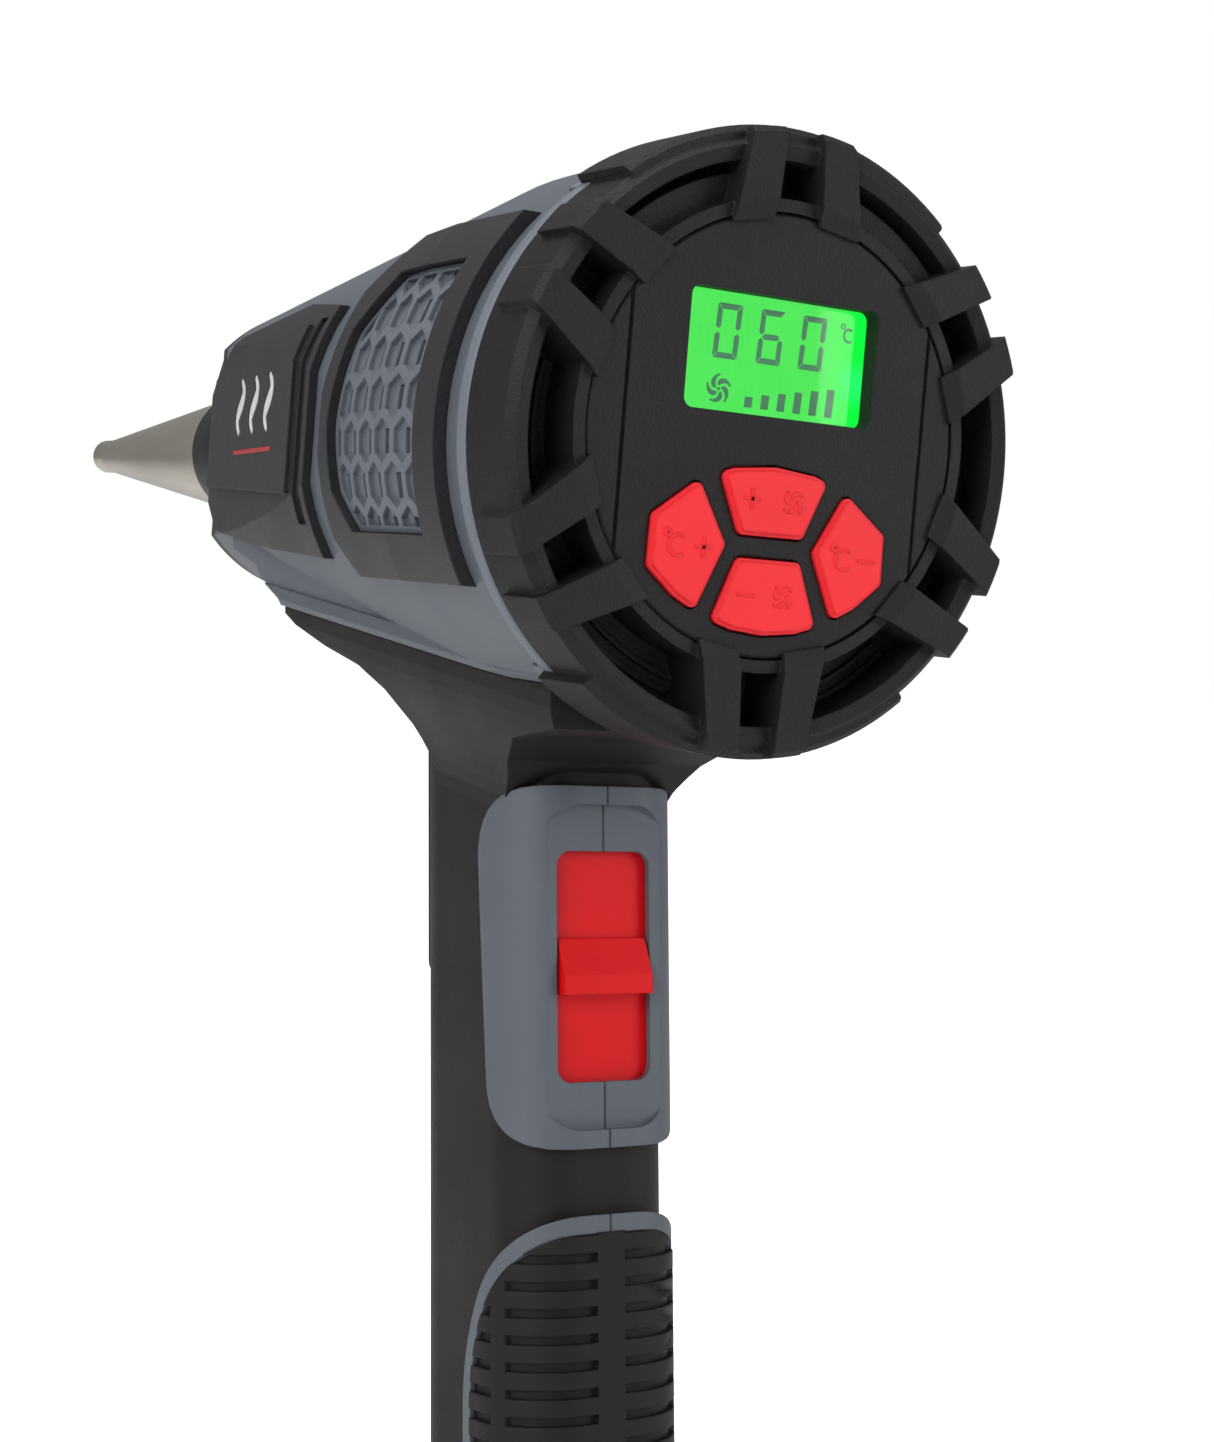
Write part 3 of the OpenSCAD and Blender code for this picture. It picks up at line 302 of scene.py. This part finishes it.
even.inputs[7].default_value = (0.11, 0.86, 0.13, 1)
glow = add(green_tree, "Mix", data_type="RGBA")
glow.inputs[7].default_value = (0.005, 1.0, 0.06, 1)
hot = add(green_tree, "Mix", data_type="RGBA")
hot.inputs[7].default_value = (0.03, 1.0, 0.22, 1)
join(green_tree,
     (green_place, "Object"), (green_axes, 0), (green_axes, 0), (to_light, 0),
     (green_place, "Object"), (spot_shape, 0), (spot_shape, "Value"), (spot_fade, 0),
     (green_place, "Object"), (blotch, "Vector"), (blotch, 0), (even, 0),
     (even, 2), (glow, 6), (to_light, 0), (glow, 0),
     (glow, 2), (hot, 6), (spot_fade, 0), (hot, 0),
     (hot, 2), (green_shader, "Emission Color"))
green_shader.inputs["Emission Strength"].default_value = 1.0
wear(display_green, "display_module")


def prism(form, outline, y_near, y_far):
    """A plate of any outline, in the plane of the cap's face, between two depths."""
    near = [form.verts.new((x, y_near, z)) for x, z in outline]
    far = [form.verts.new((x, y_far, z)) for x, z in outline]
    form.faces.new(near)
    form.faces.new(far[::-1])
    for i in range(len(outline)):
        j = (i + 1) % len(outline)
        form.faces.new((near[j], near[i], far[i], far[j]))


def stroke(points, widths):
    """The outline of a line drawn with a pen of changing width."""
    left, back = [], []
    for i, (x, z) in enumerate(points):
        ax, az = points[max(i - 1, 0)]
        bx, bz = points[min(i + 1, len(points) - 1)]
        length = math.hypot(bx - ax, bz - az)
        nx, nz = -(bz - az) / length, (bx - ax) / length
        half = widths[i] / 2
        left.append((x + nx * half, z + nz * half))
        back.append((x - nx * half, z - nz * half))
    return left + back[::-1]


def finish_form(name, form, material, body):
    """Turns a worked form into a piece that rides on a body."""
    bmesh.ops.recalc_face_normals(form, faces=form.faces)
    mesh = bpy.data.meshes.new(name)
    form.to_mesh(mesh)
    form.free()
    mesh.materials.append(material)
    piece = bpy.data.objects.new(name, mesh)
    bpy.context.scene.collection.objects.link(piece)
    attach(piece, body)
    return piece


segment_ink = moulded("segment_ink", (0.045, 0.13, 0.075), 0.5, depth=0.0, rub=0.0)
ink_shader = segment_ink.node_tree.nodes["Principled BSDF"]
ink_shader.inputs["Emission Color"].default_value = (0.05, 0.155, 0.085, 1)
ink_shader.inputs["Emission Strength"].default_value = 1.0
window_x = (lens_low.x + lens_high.x) / 2
window_z = (lens_low.z + lens_high.z) / 2
ink_near = lens_high.y - 0.12 * MM
ink_far = lens_high.y - 0.04 * MM
DIGIT_W, DIGIT_H, DIGIT_PEN, DIGIT_LEAN = 4.3, 8.0, 0.85, 0.06
LIT = {"0": "abcdef", "6": "acdefg"}


def digit(form, shape, x0, z0):
    """A seven-segment digit with mitred ends, leaning a little to the right."""
    w, h, p, gap = DIGIT_W, DIGIT_H, DIGIT_PEN, 0.12
    mid = h / 2
    bars = {
        "a": [(gap, h), (w - gap, h), (w - p, h - p), (p, h - p)],
        "d": [(gap, 0), (p, p), (w - p, p), (w - gap, 0)],
        "g": [(p * 0.7, mid), (p * 1.2, mid + p / 2), (w - p * 1.2, mid + p / 2), (w - p * 0.7, mid),
              (w - p * 1.2, mid - p / 2), (p * 1.2, mid - p / 2)],
        "f": [(0, h - gap), (p, h - p - gap), (p, mid + p * 0.7), (p * 0.5, mid + gap * 2), (0, mid + p * 0.7)],
        "e": [(0, gap), (p, p + gap), (p, mid - p * 0.7), (p * 0.5, mid - gap * 2), (0, mid - p * 0.7)]}
    bars["b"] = [(w - x, z) for x, z in bars["f"]]
    bars["c"] = [(w - x, z) for x, z in bars["e"]]
    for key in LIT[shape]:
        prism(form, [((x0 + x + z * DIGIT_LEAN) * MM + window_x, (z0 + z) * MM + window_z) for x, z in bars[key]],
              ink_near, ink_far)


def arc(cx, cz, r, start, end, steps=14):
    turns = [math.radians(start + (end - start) * i / steps) for i in range(steps + 1)]
    return [(cx + r * math.cos(t), cz + r * math.sin(t)) for t in turns]


def fan_blades(form, cx, cz, r, count, y_near, y_far, pen):
    """The fan sign: curved blades round a hub, each swelling towards its middle."""
    for k in range(count):
        spin = 2 * math.pi * k / count + 0.35
        spine, widths = [], []
        for i in range(9):
            t = i / 8
            reach = r * (0.24 + 0.76 * t)
            turn_by = spin - 1.35 * t ** 1.5
            spine.append((cx + reach * math.cos(turn_by), cz + reach * math.sin(turn_by)))
            widths.append(pen * (0.35 + 0.9 * math.sin(math.pi * min(1, t * 1.1)) ** 0.8 + 0.1 * t))
        prism(form, stroke(spine, widths), y_near, y_far)


digits = bmesh.new()
DIGIT_FOOT = -0.85
for shape, x0 in (("0", -10.2), ("6", -2.5), ("0", 5.1)):
    digit(digits, shape, x0, DIGIT_FOOT)
fan_sign_x, fan_sign_z = window_x - 8.6 * MM, window_z - 5.3 * MM
fan_blades(digits, fan_sign_x, fan_sign_z, 2.15 * MM, 5, ink_near, ink_far, 0.6 * MM)
prism(digits, [(fan_sign_x + a * MM, fan_sign_z + b * MM) for a, b in arc(0, 0, 0.28, 0, 340, 11)],
      ink_near, ink_far)
BAR_COUNT, BAR_LEFT, BAR_STEP, BAR_W, BAR_FOOT = 6, -3.9, 2.92, 1.35, -7.45
BAR_LOWEST, BAR_GROWTH = 1.55, 0.53
for i in range(BAR_COUNT):
    left = BAR_LEFT + BAR_STEP * i
    tall = BAR_LOWEST + BAR_GROWTH * i
    lean = tall * DIGIT_LEAN
    bar = ((left, BAR_FOOT), (left + BAR_W, BAR_FOOT),
           (left + BAR_W + lean, BAR_FOOT + tall), (left + lean, BAR_FOOT + tall))
    prism(digits, [(window_x + a * MM, window_z + b * MM) for a, b in bar], ink_near, ink_far)
finish_form("display_digits", digits, segment_ink, "gun")
unit = bmesh.new()
# the ring of the degree sign, then the letter, each with its own pen
for cx, cz, r, start, end, pen in ((12.9, 6.4, 0.36, 0, 350, 0.24), (14.1, 5.1, 0.95, 55, 305, 0.38)):
    spine = arc(cx, cz, r, start, end)
    outline = stroke(spine, [pen] * len(spine))
    prism(unit, [(window_x + a * MM, window_z + b * MM) for a, b in outline], ink_near, ink_far)
finish_form("display_unit", unit, segment_ink, "gun")

# ---- Keys ----
# Four silicone keys, bright red, with their signs standing up from the moulding.
key_red = moulded("key_red", (0.95, 0.022, 0.032), 0.45, grain=3200.0, depth=0.000012, rub=0.0, edge=0.0006,
                  gloss=0.3)
wear(key_red, "key_fan_up", "key_fan_down", "key_heat_up", "key_heat_down")
SIGN_RISE = 0.16 * MM
SIGN_PEN = 0.5


def key_signs(key, body, signs):
    """The signs on one key, each at a distance in mm from the middle of the face plate and of the key."""
    low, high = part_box(key)
    top = low.y
    form = bmesh.new()
    plate_low, plate_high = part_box("face_plate")
    cx = (plate_low.x + plate_high.x) / 2
    cz = (low.z + high.z) / 2
    for kind, x, z in signs:
        x0, z0 = cx + x * MM, cz + z * MM
        lines = {
            "plus": [[(-1.5, 0), (1.5, 0)], [(0, -1.5), (0, 1.5)]],
            "minus": [[(-1.6, 0), (1.6, 0)]],
            "degree": [arc(-1.9, 1.7, 0.5, 0, 350, 10), arc(0, 0, 1.55, 50, 310, 16)]}.get(kind, [])
        for points in lines:
            place_mm = [(x0 + a * MM, z0 + b * MM) for a, b in points]
            prism(form, stroke(place_mm, [SIGN_PEN * MM] * len(points)), top - SIGN_RISE, top + 0.2 * MM)
        if kind == "fan":
            fan_blades(form, x0, z0, 1.95 * MM, 4, top - SIGN_RISE, top + 0.2 * MM, 0.55 * MM)
    return finish_form(key + "_signs", form, key_red, body)


key_signs("key_fan_up", "fan_up_key", [("plus", -4.2, 0.2), ("fan", 3.2, 0.2)])
key_signs("key_fan_down", "fan_down_key", [("minus", -4.0, 0.2), ("fan", 2.6, 0.2)])
key_signs("key_heat_up", "heat_up_key", [("degree", -16.4, -0.2), ("plus", -12.0, -0.2)])
key_signs("key_heat_down", "heat_down_key", [("degree", 13.2, -0.2), ("minus", 17.4, -0.2)])

# ---- Electronics ----
# Tactile switches on a green glass-fibre board, held by small steel screws.
part_black = moulded("part_black", (0.02, 0.02, 0.02), 0.45, depth=0.00001)
board_green = moulded("board_green", (0.012, 0.09, 0.035), 0.35, depth=0.00001)
terminal_white = moulded("terminal_white", (0.7, 0.7, 0.66), 0.4, depth=0.00001)
wear(part_black, "key_switches", "slide_switch", "cable_clamp")
wear(board_green, "control_board", "power_board")
wear(terminal_white, "terminal_block")


def metal(name, colour, roughness, streaks=400.0, grain=0.000004, stretch=(1, 0.02, 1), tint=0.12, edge=0.0002):
    """Bare metal with fine drawn streaks and a slow change of gloss."""
    material = bpy.data.materials.new(name)
    material.use_nodes = True
    tree = material.node_tree
    shader = tree.nodes["Principled BSDF"]
    shader.inputs["Metallic"].default_value = 1.0
    at = add(tree, "TexCoord")
    pull = add(tree, "Mapping", Scale=stretch)
    lines_ = add(tree, "TexNoise", Scale=streaks, Detail=4.0, Roughness=0.6)
    slow = add(tree, "TexNoise", Scale=40.0, Detail=3.0)
    tone = add(tree, "Mix", data_type="RGBA")
    tone.inputs[6].default_value = (*[c * (1 - tint) for c in colour], 1)
    tone.inputs[7].default_value = (*[min(1, c * (1 + tint * 0.6)) for c in colour], 1)
    shine = add(tree, "MapRange", From_Min=0.3, From_Max=0.7, To_Min=roughness * 0.75, To_Max=roughness * 1.3)
    edges = tree.nodes.new("ShaderNodeGroup")
    edges.node_tree = rubbed_edges
    edges.inputs["Radius"].default_value = edge
    edges.inputs["Amount"].default_value = 0.0
    bump = add(tree, "Bump", Strength=1.0, Distance=grain)
    join(tree,
         (at, "Object"), (pull, "Vector"), (pull, 0), (lines_, "Vector"), (at, "Object"), (slow, "Vector"),
         (lines_, 0), (tone, 0), (tone, 2), (shader, "Base Color"),
         (slow, 0), (shine, "Value"), (shine, 0), (shader, "Roughness"),
         (lines_, 0), (bump, "Height"), (edges, "Normal"), (bump, "Normal"), (bump, "Normal"), (shader, "Normal"))
    return material


screw_steel = metal("screw_steel", (0.55, 0.54, 0.52), 0.35)
wear(screw_steel, "board_screws", "clamp_screws", "shell_screws")
screw_black = metal("screw_black", (0.03, 0.03, 0.032), 0.5)
wear(screw_black, "cap_screws")

# ---- Side vents ----
# A faceted black frame clips round a grey mesh panel on each flank.
trim_black = moulded("trim_black", (0.019, 0.0198, 0.0225), 0.5, grain=2200.0, depth=0.00006, rub=0.35,
                     rub_colour=(0.05, 0.052, 0.058), gloss=0.35)
wear(trim_black, "vent_frame_left", "vent_frame_right")
grille_grey = moulded("grille_grey", (0.115, 0.13, 0.155), 0.5, depth=0.00002, rub=0.25)
wear(grille_grey, "vent_grille_left", "vent_grille_right")

# ---- Badge shells and collar ----
# Black cheeks cover the front of the barrel, and a collar closes it round the nozzle.
# Each cheek is printed with three pale heat waves over a thin red rule.
wear(trim_black, "badge_shell_left", "badge_shell_right", "front_collar")
mark_pale = moulded("mark_pale", (0.62, 0.63, 0.65), 0.45, grain=3200.0, depth=0.000006, rub=0.0)
mark_red = moulded("mark_red", (0.40, 0.012, 0.014), 0.45, grain=3200.0, depth=0.000006, rub=0.0)
MARK_RISE = 0.12 * MM
WAVE_COUNT, WAVE_START, WAVE_STEP, WAVE_SWING, WAVE_FOOT, WAVE_PIECES = 3, -184, 12, 2.2, 0.4, 16
RULE_BACK, RULE_FRONT, RULE_LOW, RULE_HIGH = -188 * MM, -156 * MM, -3.4 * MM, -2.6 * MM


def on_cheek(form, cheek_tree, side, outline, lift):
    """Lays a flat outline of distance and height on the outside of a cheek."""
    rings = []
    for sink in (lift, -MARK_RISE):
        ring = []
        for y, z in outline:
            hit = cheek_tree.ray_cast(Vector((side * 0.1, y, z)), Vector((-side, 0, 0)))[0]
            ring.append(form.verts.new((hit.x + side * sink, y, z)))
        rings.append(ring)
    near, far = rings
    form.faces.new(near)
    form.faces.new(far[::-1])
    for i in range(len(outline)):
        j = (i + 1) % len(outline)
        form.faces.new((near[j], near[i], far[i], far[j]))


for side, cheek in ((-1, "badge_shell_left"), (1, "badge_shell_right")):
    shape = nodes[cheek]
    cheek_tree = BVHTree.FromPolygons([shape.matrix_world @ v.co for v in shape.data.vertices],
                                      [p.vertices[:] for p in shape.data.polygons])
    waves = bmesh.new()
    for k in range(WAVE_COUNT):
        spine, widths = [], []
        for i in range(WAVE_PIECES + 1):
            t = i / WAVE_PIECES
            along = WAVE_START + WAVE_STEP * k + WAVE_SWING * math.sin(2 * math.pi * t)
            spine.append((along * MM, (WAVE_FOOT + 0.62 * i) * MM))
            widths.append((0.8 + 2.0 * math.sin(math.pi * t)) * MM)
        on_cheek(waves, cheek_tree, side, stroke(spine, widths), MARK_RISE)
    finish_form(cheek + "_waves", waves, mark_pale, "gun")
    rule = bmesh.new()
    on_cheek(rule, cheek_tree, side, [(RULE_BACK, RULE_LOW), (RULE_FRONT, RULE_LOW),
                                      (RULE_FRONT, RULE_HIGH), (RULE_BACK, RULE_HIGH)], MARK_RISE)
    finish_form(cheek + "_rule", rule, mark_red, "gun")

# ---- Heat guard and nozzle ----
# A blackened steel sleeve stands off the long spun nozzle of stainless steel,
# which has taken a straw tint from the heat.
guard_black = metal("guard_black", (0.035, 0.034, 0.034), 0.42)
wear(guard_black, "heat_guard")
nozzle_steel = metal("nozzle_steel", (0.62, 0.56, 0.46), 0.24, streaks=200.0, grain=0.00001, tint=0.45)
wear(nozzle_steel, "nozzle")

# ---- Heater ----
# A ceramic former carries six wire coils inside a mica sleeve, with a probe in
# the middle of the air stream.
former_ceramic = moulded("former_ceramic", (0.78, 0.75, 0.68), 0.7, depth=0.00003, rub=0.1)
wear(former_ceramic, "heater_core")
mica = moulded("mica", (0.52, 0.43, 0.27), 0.35, grain=600.0, depth=0.00001, rub=0.1)
wear(mica, "mica_sleeve")
wire_alloy = metal("wire_alloy", (0.30, 0.24, 0.20), 0.4)
wear(wire_alloy, "heater_wire", "thermocouple")

# ---- Motor and fan ----
# A small can motor in a plastic duct turns a nine-bladed wheel on its shaft.
duct_plastic = moulded("duct_plastic", (0.035, 0.035, 0.037), 0.5, depth=0.00002)
wear(duct_plastic, "fan_duct", "fan_wheel")
motor_steel = metal("motor_steel", (0.42, 0.42, 0.43), 0.32)
wear(motor_steel, "motor", "motor_shaft")

# ---- Handle ----
# Black soft rubber is moulded over the shells, smooth round the switch, with a
# grooved palm pad below a grey accent and a ribbed panel for the fingers.
soft_black = moulded("soft_black", (0.0085, 0.0085, 0.0095), 0.55, grain=3000.0, depth=0.000025, rub=0.12,
                     rub_colour=(0.03, 0.03, 0.033), edge=0.0006, gloss=0.25)
wear(soft_black, "grip_overmould", "palm_pad", "front_grip", "cord_gland")
wear(shell_grey, "accent_band")

# ---- Slide key ----
# The switch's slide is glossy deep-red plastic with a raised step for the thumb.
slide_red = moulded("slide_red", (0.66, 0.004, 0.007), 0.4, grain=3200.0, depth=0.000008, rub=0.0, edge=0.0005,
                    gloss=0.2)
wear(slide_red, "slide_key")

low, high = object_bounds()
